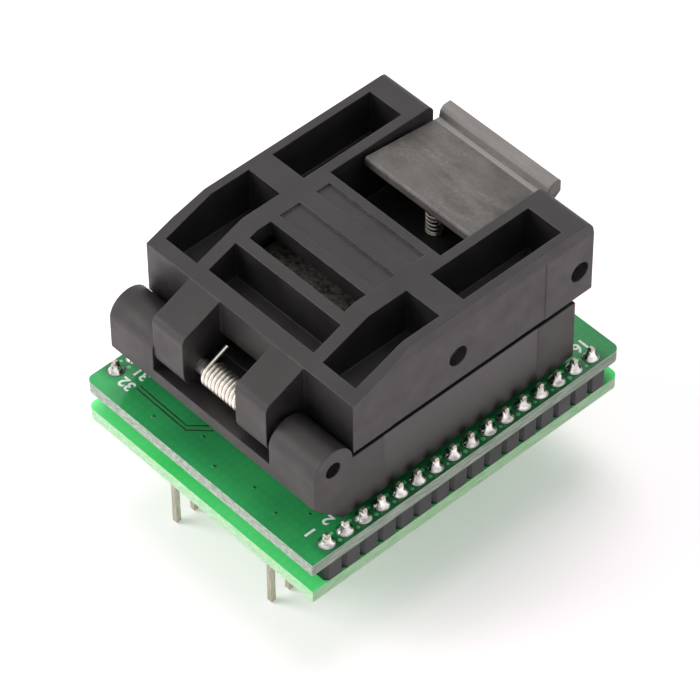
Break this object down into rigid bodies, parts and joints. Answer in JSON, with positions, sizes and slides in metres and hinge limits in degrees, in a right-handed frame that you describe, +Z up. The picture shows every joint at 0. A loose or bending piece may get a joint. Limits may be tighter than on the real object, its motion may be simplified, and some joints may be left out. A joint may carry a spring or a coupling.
{
  "type": "zif test socket",
  "caption": "Clamshell zero-insertion-force socket with a hinged lid, a spring latch and a rocking pressure plate, soldered on two stacked boards that plug in with two pin rows.",
  "frame": {"origin": "on the ground under the centre of the pin pattern and of the boards, level with the tips of the plug-in pins", "axes": "+X across the pin rows towards pin 1, +Y along the rows from the hinge to the latch, +Z up"},
  "size_m": [0.0356, 0.0444, 0.0364],
  "materials": {
    "socket_plastic": "moulded black thermoplastic, fine grain",
    "latch_plastic": "moulded grey-black thermoplastic with flow marks",
    "strip_plastic": "moulded black pin strip",
    "upper_laminate": "glass laminate with gloss green mask over copper",
    "lower_laminate": "glass laminate with gloss green mask",
    "tinned_pin": "tinned brass",
    "contact_metal": "gold-flashed copper alloy",
    "solder": "bright solder",
    "spring_steel": "bright drawn stainless wire",
    "pin_steel": "ground stainless pin",
    "plate_metal": "rough bead-blasted light alloy"
  },
  "bodies": {
    "base": {"lower_board": "lower_laminate", "upper_board": "upper_laminate", "header_strip_left": "strip_plastic", "header_strip_right": "strip_plastic", "dip_strip_left": "strip_plastic", "dip_strip_right": "strip_plastic", "header_pins_left": "tinned_pin", "header_pins_right": "tinned_pin", "dip_pins_left": "tinned_pin", "dip_pins_right": "tinned_pin", "solder_top": "solder", "solder_underside": "solder", "solder_dip": "solder", "solder_socket": "solder", "socket_base": "socket_plastic", "contact_retainer": "socket_plastic", "contacts_front": "contact_metal", "contacts_back": "contact_metal", "contacts_left": "contact_metal", "contacts_right": "contact_metal", "nest_springs": "spring_steel", "hinge_pin": "pin_steel", "torsion_spring": "spring_steel"},
    "lid": {"lid": "socket_plastic", "torsion_spring_arm": "spring_steel", "pressure_plate_pin": "pin_steel", "latch_pin": "pin_steel", "latch_spring": "spring_steel"},
    "latch": {"latch_lever": "latch_plastic"},
    "pressure_plate": {"pressure_plate": "plate_metal"},
    "nest": {"nest": "socket_plastic"}
  },
  "joints": [
    {"name": "lid_hinge", "type": "hinge", "parent": "base", "child": "lid", "pos_m": [0, -0.01735, 0.02618], "axis": [1, 0, 0], "range_deg": [0, 90]},
    {"name": "latch_swing", "type": "hinge", "parent": "lid", "child": "latch", "pos_m": [0, 0.0175, 0.03038], "axis": [1, 0, 0], "range_deg": [-4, 12], "stiffness_Nm_per_rad": 0.02, "deforming": ["latch_spring"]},
    {"name": "plate_rock", "type": "hinge", "parent": "lid", "child": "pressure_plate", "pos_m": [0, 0.0001, 0.03028], "axis": [1, 0, 0], "range_deg": [-2.5, 2.5]},
    {"name": "nest_float", "type": "slide", "parent": "base", "child": "nest", "axis": [0, 0, 1], "range_m": [-0.0006, 0], "stiffness_N_per_m": 150, "deforming": ["nest_springs"]}
  ]
}
